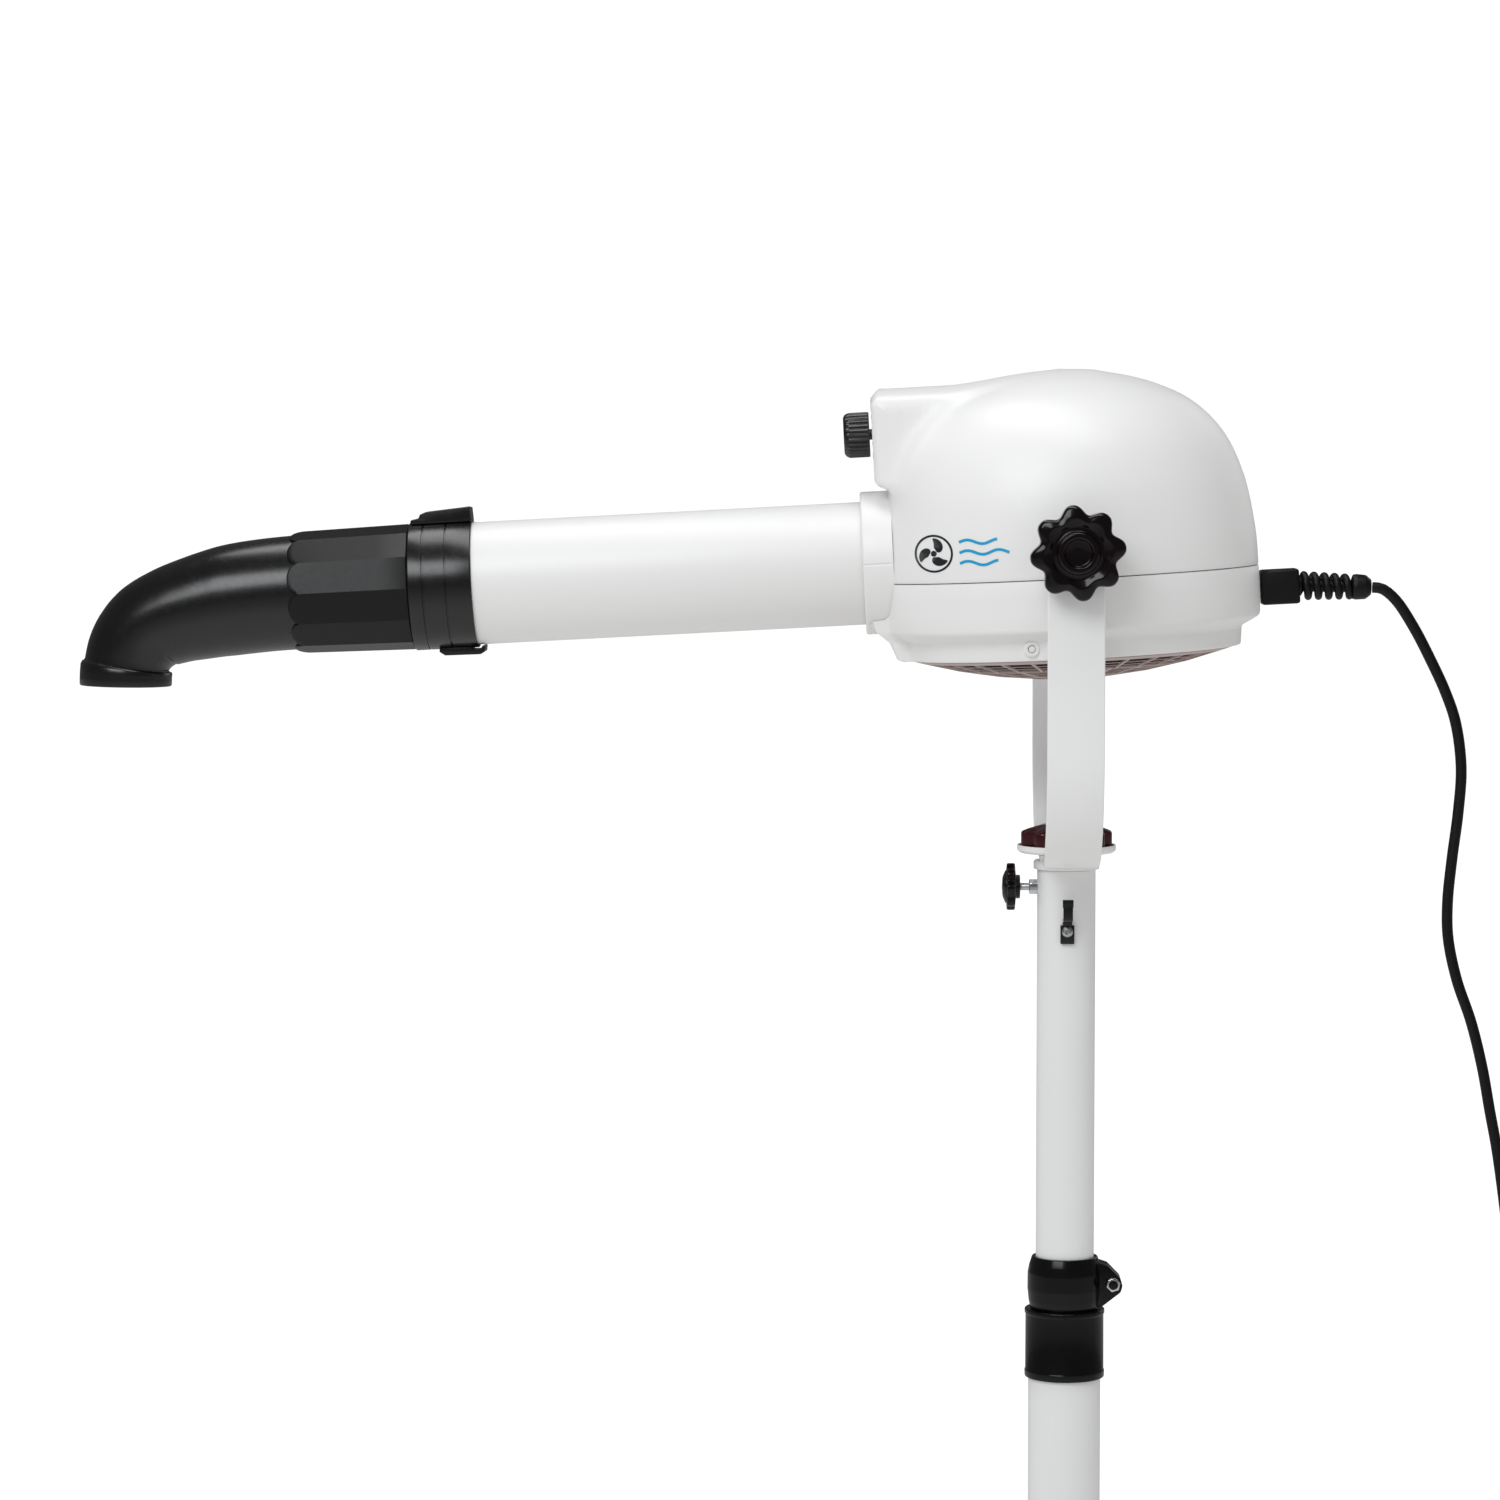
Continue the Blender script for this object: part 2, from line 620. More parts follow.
SHELL_WALL = 2.8
SHELL_STEPS = 288
PARTING_Z = span("lower_shell", HEAD)[1][2] - 0.1
SKIRT_Z = span("lower_shell", HEAD)[0][2]
DUCT_Z = sum(b[2] for b in span("duct_tube", HEAD)) / 2
DUCT_AT = (0, 0, DUCT_Z)
DUCT_R = span("duct_tube", HEAD)[1][1]
NECK_R = span("neck_ring", HEAD)[1][1]
NECK_FRONT = span("neck_ring", HEAD)[0][0]
BOX_FRONT = span("upper_shell", HEAD)[0][0]
BOX_HALF = 30
BOX_TOP = 91.5
BOX_BOTTOM = 42.5
BOX_CROWN = 6  # how far the top of the control box drops towards its sides
BOX_EDGE = 4.5
BLEND = 9  # width of the soft corner between the dome and the control box
SHELL_R = 103
DOME = [(0, 97), (26, 94.2), (50, 87.6), (71, 76.6), (87, 59.4), (97, 36), (102.2, 6), (SHELL_R, -14),
        (SHELL_R, -30)]

dome_curve = through(DOME, 20)
dome_slope = np.arctan2(dome_curve[:, 1], dome_curve[:, 0])[::-1]
dome_reach = np.hypot(dome_curve[:, 0], dome_curve[:, 1])[::-1]


def shell_depth(p):
    """Roughly how far points in the head frame are outside the upper shell."""
    flat = np.hypot(p[..., 0], p[..., 1])
    dome = np.hypot(flat, p[..., 2]) - np.interp(np.arctan2(p[..., 2], flat), dome_slope, dome_reach)
    crowned = p[..., 2] + BOX_CROWN * np.minimum(1, np.abs(p[..., 1]) / BOX_HALF) ** 2
    low = np.array([BOX_FRONT, -BOX_HALF, BOX_BOTTOM])
    high = np.array([20, BOX_HALF, BOX_TOP])
    inside = np.stack([p[..., 0], p[..., 1], crowned], -1)
    q = np.abs(inside - (low + high) / 2) - (high - low) / 2 + BOX_EDGE
    box = np.linalg.norm(np.maximum(q, 0), axis=-1) + np.minimum(q.max(-1), 0) - BOX_EDGE
    near = np.maximum(BLEND - np.abs(dome - box), 0) / BLEND
    return np.minimum(dome, box) - near * near * BLEND / 4


def shell_reach(direction, inset=0.0):
    """How far the upper shell's surface is from the origin in each direction."""
    far = np.full(direction.shape[:-1], 135.0)
    for distance in np.linspace(134, 88, 93):
        outside = shell_depth(direction * far[..., None]) > -inset
        further = shell_depth(direction * distance) > -inset
        far = np.where(outside & further & (far > distance), distance, far)
    near = far - 0.6
    for _ in range(16):
        middle = (far + near) / 2
        outside = shell_depth(direction * middle[..., None]) > -inset
        far, near = np.where(outside, middle, far), np.where(outside, near, middle)
    return far


def shell_rings(inset, slopes):
    azimuth = np.arange(SHELL_STEPS) * 2 * np.pi / SHELL_STEPS
    slope, azimuth = np.meshgrid(slopes, azimuth, indexing="ij")
    direction = np.stack([np.cos(slope) * np.cos(azimuth), np.cos(slope) * np.sin(azimuth),
                          np.sin(slope)], -1)
    return direction * shell_reach(direction, inset)[..., None]


def upper_shell():
    rim = math.atan2(PARTING_Z + 0.9, DOME[-2][0])
    fine = np.radians(np.arange(20, 27.01, 0.25))
    slopes = np.concatenate([np.radians(np.arange(90, 27, -1)), fine[::-1],
                             np.radians(np.arange(19.2, 0, -1)), np.linspace(0, rim, 8)])
    outer = shell_rings(0, slopes)
    inner = shell_rings(SHELL_WALL, slopes)
    edge = [outer[-1] * (1 - cut / SHELL_R, 1 - cut / SHELL_R, 0) + (0, 0, PARTING_Z + up)
            for cut, up in ((0.15, 0.55), (0.6, 0.3), (SHELL_WALL, 0.3))]
    return loft([*outer, *edge, *inner[::-1]])


def x_rod(r, low, high):
    """A rod on the duct's axis."""
    return rod("x", r, low, high, DUCT_AT, steps=120)


neck_bore = x_rod(DUCT_R + 0.3, -135, -78)
piece("upper_shell_skin", "head", "white_plastic", HEAD, [upper_shell()], ["upper_shell"], [neck_bore])

CHIN = [(-35, 111), (-46, 100), (-56, 95), (-58, 88)]  # height and reach of the fairing under the neck
CHIN_HALF = 24
CHIN_BLEND = 10
MOUTH_R = 88.6
MOUTH_INSET = 12  # keeps the fairing out of the round mouth


def lower_ring(r, z, inset=0):
    """One level of the lower shell: round, with the fairing blended in at the front."""
    ring = []
    reach = np.interp(-z, [-c[0] for c in CHIN], [c[1] for c in CHIN]) - inset
    for angle in around(SHELL_STEPS):
        c, s = math.cos(angle), math.sin(angle)
        chin = 0
        if c < 0:
            chin = min(reach / -c, (CHIN_HALF - inset) / max(abs(s), 1e-6))
        near = max(CHIN_BLEND - abs(chin - r), 0) / CHIN_BLEND
        size = max(chin, r) + near * near * CHIN_BLEND / 4 if chin > r - CHIN_BLEND else r
        ring.append((size * c, size * s, z))
    return ring


def lower_shell():
    top = PARTING_Z - 0.1
    outer = [(SHELL_R - SHELL_WALL, top), (102.4, top), (102.85, top - 0.25), (SHELL_R, top - 0.7),
             (SHELL_R, -24), (SHELL_R, -33, 20), (102.6, -41.5, 3.5), (92.4, -46.8, 2.5), (91.5, -56.2, 12),
             (91.2, SKIRT_Z, 0.8), (MOUTH_R, SKIRT_Z)]
    inner = [(MOUTH_R, -50), (92, -45.5, 2), (99.4, -39.5, 3), (SHELL_R - SHELL_WALL, -33)]
    rings = [lower_ring(r, z) for r, z in soft(outer, False, 5)[:-1]]
    rings += [lower_ring(MOUTH_R, z, MOUTH_INSET) for z in (SKIRT_Z, SKIRT_Z + 0.2)]
    rings += [lower_ring(r, z, 4) for r, z in soft(inner, False, 3)]
    return loft(rings, closed=True)


seat = x_rod(NECK_R + 0.3, -125, -96)
piece("lower_shell_skin", "head", "white_plastic", HEAD, [lower_shell()], ["lower_shell"], [neck_bore, seat])


def neck_ring():
    """A ring with a fine seam down each side."""
    def seam(angle, r):
        off = min(angle, abs(angle - math.pi), abs(angle - 2 * math.pi))
        return r - 0.5 * max(0, 1 - off * r / 0.55) if r > DUCT_R + 2 else r
    outline = [(DUCT_R + 0.4, NECK_FRONT, 0.6), (NECK_R, NECK_FRONT, 1.4), (NECK_R, -95.5),
               (DUCT_R + 0.4, -95.5)]
    return revolve(outline, "x", 720, swell=seam, at=DUCT_AT)


piece("neck_ring_skin", "head", "white_plastic", HEAD, [neck_ring()], ["neck_ring"])

duct_low, duct_high = span("duct_tube", HEAD)
duct_wall = [(DUCT_R, duct_low[0], 0.5), (DUCT_R, duct_high[0], 0.5), (DUCT_R - 2, duct_high[0], 0.5),
             (DUCT_R - 2, duct_low[0], 0.5)]
piece("duct_tube_skin", "head", "white_plastic", HEAD, [revolve(duct_wall, "x", 120, at=DUCT_AT)],
      ["duct_tube"])

# ---------------------------------------------------------------- intake grille

GRILLE_STEPS = 360
GRILLE_BANDS = [(10, 21, 6), (22.8, 41.4, 12), (43, 62.2, 24), (63.8, 83, 30)]  # inner, outer, ribs
GRILLE_RIB = 1.7  # width of a rib
GRILLE_WIRES = (28.5, 34.5, 48, 54, 67.5, 73.5)
WIRE_R = 0.3


def grille_height(r):
    """The dish hangs 14 under the skirt in the middle, and rises towards its rim."""
    return SKIRT_Z - 14 + 0.0018 * r * r


def intake_grille():
    """A domed dish whose bands are broken into slots by ribs."""
    build = bmesh.new()
    radii = [6, *[r for low, high, _ in GRILLE_BANDS for r in (low, high)], 84, 88]
    rings = []
    for r in radii:
        rings.append([build.verts.new((*polar(r, a), grille_height(r))) for a in around(GRILLE_STEPS)])
    centre = build.verts.new((0, 0, grille_height(0)))
    slots = {low: (count, (low + high) / 2) for low, high, count in GRILLE_BANDS}
    for i, r in enumerate(radii[:-1]):
        for k in range(GRILLE_STEPS):
            if r in slots:
                count, middle = slots[r]
                pitch = GRILLE_STEPS // count
                rib = max(1, round(GRILLE_RIB / middle / (2 * math.pi / GRILLE_STEPS)))
                if k % pitch >= rib:
                    continue
            n = (k + 1) % GRILLE_STEPS
            build.faces.new((rings[i][k], rings[i][n], rings[i + 1][n], rings[i + 1][k]))
    for k in range(GRILLE_STEPS):
        build.faces.new((centre, rings[0][(k + 1) % GRILLE_STEPS], rings[0][k]))
    loose = [v for v in build.verts if not v.link_faces]
    bmesh.ops.delete(build, geom=loose, context="VERTS")
    points, faces = shape_of(build)
    mesh = bpy.data.meshes.new("intake_grille_skin")
    mesh.from_pydata([HEAD @ Vector(p) for p in points], [], faces)
    thing = linked("intake_grille_skin", mesh)
    thick = thing.modifiers.new("thick", "SOLIDIFY")
    thick.thickness = 0.001
    thick.offset = 0
    settled(thing)
    finished(thing, "head", "grille_plastic", ["intake_grille"])


intake_grille()
wires = []
for r in GRILLE_WIRES:
    level = grille_height(r) + 0.5
    wires.append(revolve([polar(WIRE_R, a, (r, level)) for a in around(8)], "z", 144))
piece("intake_grille_wires", "head", "grille_plastic", HEAD, wires, sharp=60)
outside = []
for r in np.arange(85.5, 2, -1.5):
    outside += [(r, grille_height(r) + 1.5), (r - 0.75, grille_height(r) + 2.1)]
backing = [(r, grille_height(r) + 3) for r in (0, 30, 55, 75, 85.5)]
gauze = revolve([*backing, *outside, (0, outside[-1][1])], "z", 144)
piece("intake_grille_gauze", "head", "screen", HEAD, [gauze], sharp=25)


def filter_screen():
    """A round insert of fine concentric louvres."""
    level = span("filter_screen", HEAD)[0][2]
    profile = [(0, level + 1.2), (84, level + 1.2), (84, level - 1)]
    for r in np.arange(82.5, 4, -2.4):
        profile += [(r + 0.4, level - 1.2), (r, level + 0.3), (r - 1.6, level + 0.3)]
    return revolve([*profile, (3, level - 1), (0, level - 1)], "z", 120)


piece("filter_screen_insert", "head", "screen", HEAD, [filter_screen()], ["filter_screen"], sharp=25)

# ---------------------------------------------------------------- duct fittings and nozzle

RING_START, RING_END = -324, -358.6
RING_R = 35
GRIP_END = -424.5
GRIP_SIDES = 12
GRIP_BORE = 29.6


def nozzle_ring():
    """A band with two fine grooves, and a catch above and below."""
    seats = []
    for x in (-338, -350.5):
        seats += [(RING_R, x + 0.55), (RING_R - 0.8, x + 0.35), (RING_R - 0.8, x - 0.35), (RING_R, x - 0.55)]
    outline = [(DUCT_R + 0.3, RING_START, 0.4), (RING_R, RING_START, 0.7), *seats, (RING_R, RING_END, 0.7),
               (31.6, RING_END, 0.3), (31.6, -338.3), (DUCT_R + 0.3, -338.3)]
    band = revolve(outline, "x", 144, at=DUCT_AT)
    top = [(-357.4, 34), (-357.4, 36.4, 1), (-353.4, 37.2, 0.6), (-352.6, 37.6), (-352.2, 39.2, 1.4),
           (-348.5, 40.6, 3), (-326.2, 42.2, 0.5), (-324.6, 41.6, 0.5), (-324.2, 34.2, 0.3)]
    bottom = [(-345.4, -34), (-345.6, -36.2, 0.8), (-342.6, -38.3, 1.2), (-323.2, -38.6, 1.2),
              (-320.8, -37.2, 1), (-320.4, -33.9, 0.4), (-321.8, -33.9, 0.4), (-323.2, -35.8, 0.6),
              (-327.5, -35.6), (-328, -34)]
    top_ear = prism("y", top, -10, 10, 0.35, DUCT_AT)
    bottom_ear = prism("y", bottom, -9, 9, 0.35, DUCT_AT)
    return [band, top_ear, bottom_ear]


piece("nozzle_ring_band", "head", "black_plastic", HEAD, nozzle_ring(), ["nozzle_ring"])


def facet(angle):
    """Share of the way from a corner of the twelve-sided grip (0) to the middle of a facet (1)."""
    pitch = 2 * math.pi / GRIP_SIDES
    return 1 - abs((angle % pitch) / pitch - 0.5) * 2


def facet_reach(angle, corner):
    """How far the grip's side is from its axis, for a corner that far away."""
    pitch = 2 * math.pi / GRIP_SIDES
    return corner * math.cos(pitch / 2) / math.cos((angle % pitch) - pitch / 2)


def grip():
    """The faceted sleeve. Its front end is scalloped: each facet ends in an arc."""
    turns = around(GRIP_SIDES * 16)
    start = RING_END - 0.4
    rings = []
    for share, drop in ((0, 1.2), (0, 0.5), (0.004, 0.15), (0.012, 0), (0.25, 0), (0.5, 0), (0.75, 0),
                        (0.95, 0), (0.975, 0.06), (0.99, 0.3), (0.998, 0.75), (1, 1.4), (1.004, 4.6)):
        ring = []
        for angle in turns:
            end = GRIP_END + 5.5 * (1 - math.sqrt(1 - (1 - facet(angle)) ** 2 * 0.98))
            x = start + (end - start) * share
            corner = 34.4 - 1.2 * (start - x) / (start - GRIP_END)
            size = max(facet_reach(angle, corner) - drop, GRIP_BORE)
            ring.append((x, size * math.cos(angle), DUCT_Z + size * math.sin(angle)))
        rings.append(ring)
    for x in (GRIP_END + 1, start):
        rings.append([(x, GRIP_BORE * math.cos(a), DUCT_Z + GRIP_BORE * math.sin(a)) for a in turns])
    return loft(rings, closed=True)


# (x, z) points of the elbow's middle line in the HEAD frame, then (share of its length, radius) points
ELBOW = [(-412, -2.9), (-422, -2.9), (-440, -3.6), (-458, -5.2), (-476, -8.2), (-492, -12), (-505, -17.6),
         (-513.5, -26), (-517.8, -34.5), (-519.4, -42), (-520, -49)]
ELBOW_OUTSIDE = [(0, 31.6), (0.07, 31.3), (0.3, 30.8), (0.45, 29.4), (0.58, 27.6), (0.69, 26), (0.8, 24.4),
                 (0.9, 23.2), (0.915, 23.2), (0.921, 24.6), (0.928, 25.2), (0.994, 25.2), (1, 24.8)]
ELBOW_INSIDE = [(1, 21.4), (0.99, 21), (0.9, 20.8), (0.8, 22), (0.69, 23.6), (0.58, 25.2), (0.45, 27),
                (0.3, 28.6), (0, 29.2)]


def elbow_rings(sizes, curve, shares):
    """Rings across a curve, at these shares of its length, as wide as the (share, radius) sizes say."""
    sizes = sorted(sizes)
    rings = []
    count = len(curve) - 1
    for share in shares:
        at = share * count
        low = min(int(at), count - 1)
        here = curve[low] + (curve[low + 1] - curve[low]) * (at - low)
        before, after = curve[max(low - 3, 0)], curve[min(low + 4, count)]
        ahead = (after - before) / np.linalg.norm(after - before)
        up = np.array([ahead[1], -ahead[0]])
        r = np.interp(share, [s for s, _ in sizes], [r for _, r in sizes])
        ring = []
        for angle in around(96):
            flat = here + up * r * math.sin(angle)
            ring.append((flat[0], r * math.cos(angle), flat[1]))
        rings.append(ring)
    return rings


def nozzle_elbow():
    curve = even(through(ELBOW, 20), 1)
    smooth_outside = [tuple(p) for p in through(ELBOW_OUTSIDE[:8], 8)] + ELBOW_OUTSIDE[8:]
    smooth_inside = [tuple(p) for p in through(ELBOW_INSIDE[1:], 8)] + ELBOW_INSIDE[:1]
    outward = [*np.linspace(0, 0.91, 70), 0.915, 0.918, 0.921, 0.9245, 0.928, 0.95, 0.97, 0.994, 1]
    inward = [1, 0.99, *np.linspace(0.97, 0, 50)]
    rings = elbow_rings(smooth_outside, curve, outward) + elbow_rings(smooth_inside, curve, inward)
    return loft(rings, closed=True)


def nozzle_spigot():
    """The nozzle's end inside the ring."""
    outline = [(27.7, RING_END - 5), (31.2, RING_END - 5), (31.2, RING_END + 12, 1),
               (27.7, RING_END + 14, 0.5)]
    return revolve(outline, "x", at=DUCT_AT)


piece("nozzle_grip", "nozzle", "grip_plastic", HEAD, [grip()], sharp=22)
piece("nozzle_elbow_skin", "nozzle", "black_plastic", HEAD, [nozzle_elbow(), nozzle_spigot()],
      ["nozzle_elbow"])

# ---------------------------------------------------------------- fork, pivots and swivel

PIVOT_R = 4.6  # of the holes round the pivots
ARM_Y = 118
STRAP = 3
STRAP_HALF = 15
FORK_BOTTOM = span("fork", YOKE)[0][2]
FORK_BEND = 63.5


def fork_strap():
    """A bent strap with round ends: rings of a rounded rectangle along its middle line."""
    flat = FORK_BOTTOM + STRAP / 2
    stations = []
    for angle in np.radians([89.7, 86, 80, 72, 63, 54, 45, 36, 27, 18, 9]):
        stations.append((ARM_Y, STRAP_HALF * math.sin(angle), STRAP_HALF * math.cos(angle)))
    stations += [(ARM_Y, z, STRAP_HALF) for z in np.linspace(0, flat + FORK_BEND, 8)]
    for angle in np.radians(np.arange(5, 91, 5)):
        y = ARM_Y - FORK_BEND + FORK_BEND * math.cos(angle)
        stations.append((y, flat + FORK_BEND - FORK_BEND * math.sin(angle), STRAP_HALF))
    stations += [(y, flat, STRAP_HALF) for y in (36, 18, 0)]
    stations += [(-y, z, half) for y, z, half in stations[-2::-1]]
    rings = []
    for i, (y, z, half) in enumerate(stations):
        before, after = stations[max(i - 1, 0)], stations[min(i + 1, len(stations) - 1)]
        ahead = Vector((after[0] - before[0], after[1] - before[1])).normalized()
        thick = STRAP / 2
        corners = [(half, thick, 0.7), (-half, thick, 0.7), (-half, -thick, 0.7), (half, -thick, 0.7)]
        rings.append([(u, y - ahead.y * v, z + ahead.x * v) for u, v in soft(corners, steps=3)])
    return capped(rings)


def star(lobes, depth, floor, top, turn=0, power=2.6):
    """Waves for the rim of a knob, growing from the floor radius to the top radius."""
    def swell(angle, r):
        wave = abs(math.sin(lobes / 2 * (angle - turn))) ** power
        return r - depth * wave * min(1, max(0, (r - floor) / (top - floor)))
    return swell


pivot_hole = rod("y", PIVOT_R, -130, 130)
piece("fork_strap", "fork", "white_paint", YOKE, [fork_strap()], ["fork"], [pivot_hole])

for side, sign in (("near", -1), ("far", 1)):
    low, high = sorted((103.6 * sign, 116.2 * sign))
    bush = revolve([(PIVOT_R, low), (12, low, 0.7), (12, high, 0.7), (PIVOT_R, high)], "y", 64)
    piece(f"pivot_bush_{side}_ring", "head", "black_plastic", HEAD, [bush], [f"pivot_bush_{side}"])

washer = revolve([(3.8, 119.8), (11, 119.8, 0.3), (11, 121.3, 0.5), (3.8, 121.3)], "y", 64)
bolt_head = prism("y", [(v, u) for u, v in hexagon(12.9)], 121.2, 126.6, 0.7)
bolt_dimple = revolve([(0, 126.8), (3.2, 126.8, 0.2), (4.4, 126.4), (4.4, 126), (0, 126)], "y", 40)
piece("pivot_bolt_far_head", "head", "steel", HEAD, [washer, bolt_head, bolt_dimple, rod("y", 4, 92, 121)],
      ["pivot_bolt_far"])


def tilt_knob():
    low = -(ARM_Y + STRAP / 2 + 1.6)
    profile = [(0, low), (14, low, 0.6), (15, low - 2.6, 1.2), (25, low - 3.6, 2.4), (25, low - 18, 3),
               (18.5, low - 19.5, 4), (13.5, low - 18, 3), (11.2, low - 18.4, 1), (10.8, low - 23, 1.2),
               (7.4, low - 23, 1), (7, low - 20.2, 1), (3, low - 20, 1), (0, low - 20)]
    body = revolve(profile, "y", 320, star(8, 4.6, 13.5, 25, math.radians(40.5)), arc=5)
    return [body, rod("y", 4, low + 0.5, -92)]


piece("tilt_knob_star", "tilt_knob", "knob_plastic", HEAD, tilt_knob(), ["tilt_knob"], sharp=50)


def cup():
    floor = FORK_BOTTOM + STRAP + 0.3
    outline = [(5.5, floor), (25.4, floor, 1.4), (27, floor + 1.4, 1), (27, floor + 4.3, 0.4),
               (25.9, floor + 4.3, 0.4), (25.6, floor + 1.8, 0.6), (5.5, floor + 1.8)]
    return revolve(outline)


def swivel_nut():
    low, high = (corner[2] for corner in span("swivel_nut", YOKE))
    profile = [(5.4, low), (23, low, 0.8), (25, low + 1.8, 1.6), (25, high - 4.4, 1.8), (21, high - 2.8, 4),
               (12, high - 0.3, 14), (3, high, 8), (0, high), (0, high - 3), (5.4, high - 3)]
    return revolve(profile, "z", 320, star(8, 4.6, 13, 25, math.radians(4.5)), arc=6)


piece("cup_washer_skin", "fork", "white_paint", YOKE, [cup()], ["cup_washer"])
piece("swivel_nut_star", "swivel_nut", "nut_plastic", YOKE, [swivel_nut()], ["swivel_nut"], sharp=50)

# ---------------------------------------------------------------- mast and column

LOCK_AT = (0, 0, -186)
HOOK_SCREW_AT = (0, 0, -208.9)


def round_tube(node, wall, place, edge=0.5):
    """A tube as long and wide as its CAD node."""
    low, high = span(node, place)
    r = high[0]
    return revolve([(r - wall, low[2], edge), (r, low[2], edge), (r, high[2], edge),
                    (r - wall, high[2], edge)])


cap = [(8.4, -171.2), (17.3, -171.2, 0.6), (18, -172.2, 0.6), (18, -176, 0.5), (8.4, -176)]
piece("mast_cap_ring", "mast", "white_paint", YOKE, [revolve(cap)], ["mast_cap"])
piece("mast_tube", "mast", "white_paint", YOKE, [round_tube("mast", 2.4, YOKE)], ["mast"],
      [rod("x", 2.5, -30, 0, LOCK_AT)])
piece("outer_tube_skin", "base", "white_paint", MAST, [round_tube("outer_tube", 2.9, MAST, 0.7)],
      ["outer_tube"])

boss = prism("x", hexagon(7.27, math.pi / 6), -20.4, -15.4, 0.45, LOCK_AT)
piece("lock_boss_nut", "mast", "chrome", YOKE, [boss], ["lock_boss"])


def lock_knob():
    crown = [(0, -35.4), (5.4, -35, 6), (9, -33.4, 1), (9.1, -33)]
    lobes = [(12.9, -32.6, 0.9), (12.9, -28.2, 0.9), (9, -27.9), (6.5, -27.7, 0.5), (6.5, -25.4, 0.5)]
    return revolve([*crown, *lobes, (0, -25.4)], "x", 256, star(8, 1.7, 9.2, 12.9), LOCK_AT, arc=5)


piece("lock_knob_star", "lock_knob", "knob_plastic", YOKE, [lock_knob()], ["lock_knob"], sharp=50)
piece("lock_knob_stud", "lock_knob", "steel", YOKE, [rod("x", 2, -25.8, -9.2, LOCK_AT)])


def cord_hook():
    """Outlines run down from the hook screw."""
    neck = [(-16.6, 2.3), (-16.5, 7.1, 0.6), (-25.6, 8.4, 1.2), (-25.8, 14.5), (-28, 14.3, 0.3),
            (-28, 6.4, 1.6), (-18.4, 5.1, 0.6), (-18.4, 2.3)]
    tip = [(-25.8, 13.7), (-27.1, 13.7), (-27.1, 18.2, 0.8), (-25.8, 18.2, 0.3)]
    plate = [(-18.4, -6.9), (-16.4, -6.9), (-16.4, 3.5), (-18.4, 3.5)]
    parts = ((plate, 3.8, 0.5), (tip, 2.95, 0.35), (neck, 2.6, 0.35))
    return [prism("x", line, -half, half, edge, HOOK_SCREW_AT) for line, half, edge in parts]


piece("cord_hook_clip", "mast", "black_plastic", YOKE, cord_hook(), ["cord_hook"])
screw = [(0, -19.4), (1.1, -19.4), (1.2, -20.6, 0.2), (2, -20.5, 0.5), (3, -19.3, 0.3), (3, -18.4),
         (1.8, -18.4), (1.8, -14), (0, -14)]
piece("hook_screw_head", "mast", "steel", YOKE, [revolve(screw, "y", 48, at=HOOK_SCREW_AT)],
      ["hook_screw"])

CLAMP_TOP, CLAMP_BOTTOM = -390, -418.7
barrel = [(16.5, CLAMP_TOP), (18, CLAMP_TOP, 0.8), (19.5, -394.5, 7), (20.4, -399, 9), (20.5, -408, 9),
          (19.8, -414.5, 7), (19, CLAMP_BOTTOM, 0.8), (16.5, CLAMP_BOTTOM)]
split = block((10, 40), (-1, 1), (CLAMP_BOTTOM - 5, CLAMP_TOP + 5), 0)
piece("clamp_barrel", "base", "clamp_plastic", YOKE, [revolve(barrel, "z", 120, arc=5)],
      ["clamp_collar"], [split])
lug = [(17, -392.4), (23.6, -394.6, 3), (30.4, -401.6, 4), (31.6, -405.5, 3), (30.6, -409.2, 3),
       (20, -417.4, 2), (17, -417.6)]
piece("clamp_lugs", "base", "clamp_plastic", YOKE,
      [prism("y", lug, -8, -1.1, 0.7), prism("y", lug, 1.1, 8, 0.7)])
CLAMP_BOLT = (26.3, 0, -404.5)
nut = prism("y", hexagon(7, 0.3), -11.4, -8.5, 0.35, CLAMP_BOLT)
bolt = [rod("y", 2, -9.6, 12, CLAMP_BOLT), prism("y", hexagon(6.3, 0.1), 8.5, 10.9, 0.45, CLAMP_BOLT),
        rod("y", 3.6, -8.7, -7.8, CLAMP_BOLT, 0.2), rod("y", 3.6, 7.8, 8.7, CLAMP_BOLT, 0.2)]
piece("clamp_bolt_set", "base", "steel", YOKE, bolt, ["clamp_bolt"])
piece("clamp_bolt_nut", "base", "chrome", YOKE, [nut], holes=[rod("y", 2.6, -12, -9.9, CLAMP_BOLT)])
piece("clamp_bolt_insert", "base", "clamp_plastic", YOKE, [rod("y", 2.5, -11, -9.8, CLAMP_BOLT)])

sleeve = [(16.5, -419), (22, -419, 0.7), (22, -421.4, 0.4), (21.5, -421.9, 0.3), (21.6, -452.4),
          (22, -453.2, 0.3), (21.9, -457, 1.6), (20.3, -457, 0.3), (20.3, -434.6), (16.5, -434.6)]
piece("coupling_sleeve_skin", "base", "clamp_plastic", YOKE, [revolve(sleeve)], ["coupling_sleeve"])

# ---------------------------------------------------------------- base

HUB_BORE = 20.3
hub = [(0, 60), (36, 60, 1), (38, 62, 1), (38, 100, 3), (34, 104, 1.5), (HUB_BORE, 104), (HUB_BORE, 66),
       (0, 66)]
piece("base_hub_body", "base", "white_paint", MAST, [revolve(hub, "z", 120)], ["base_hub"])
cover = [(HUB_BORE, 104.3), (33, 104.3, 1), (31.4, 110.3, 5), (26, 120.3, 7), (23.5, 131, 5),
         (23.5, 134.3, 1.2), (HUB_BORE, 134.3, 0.4)]
piece("hub_cover_skin", "base", "black_plastic", MAST, [revolve(cover, arc=6)], ["hub_cover"])

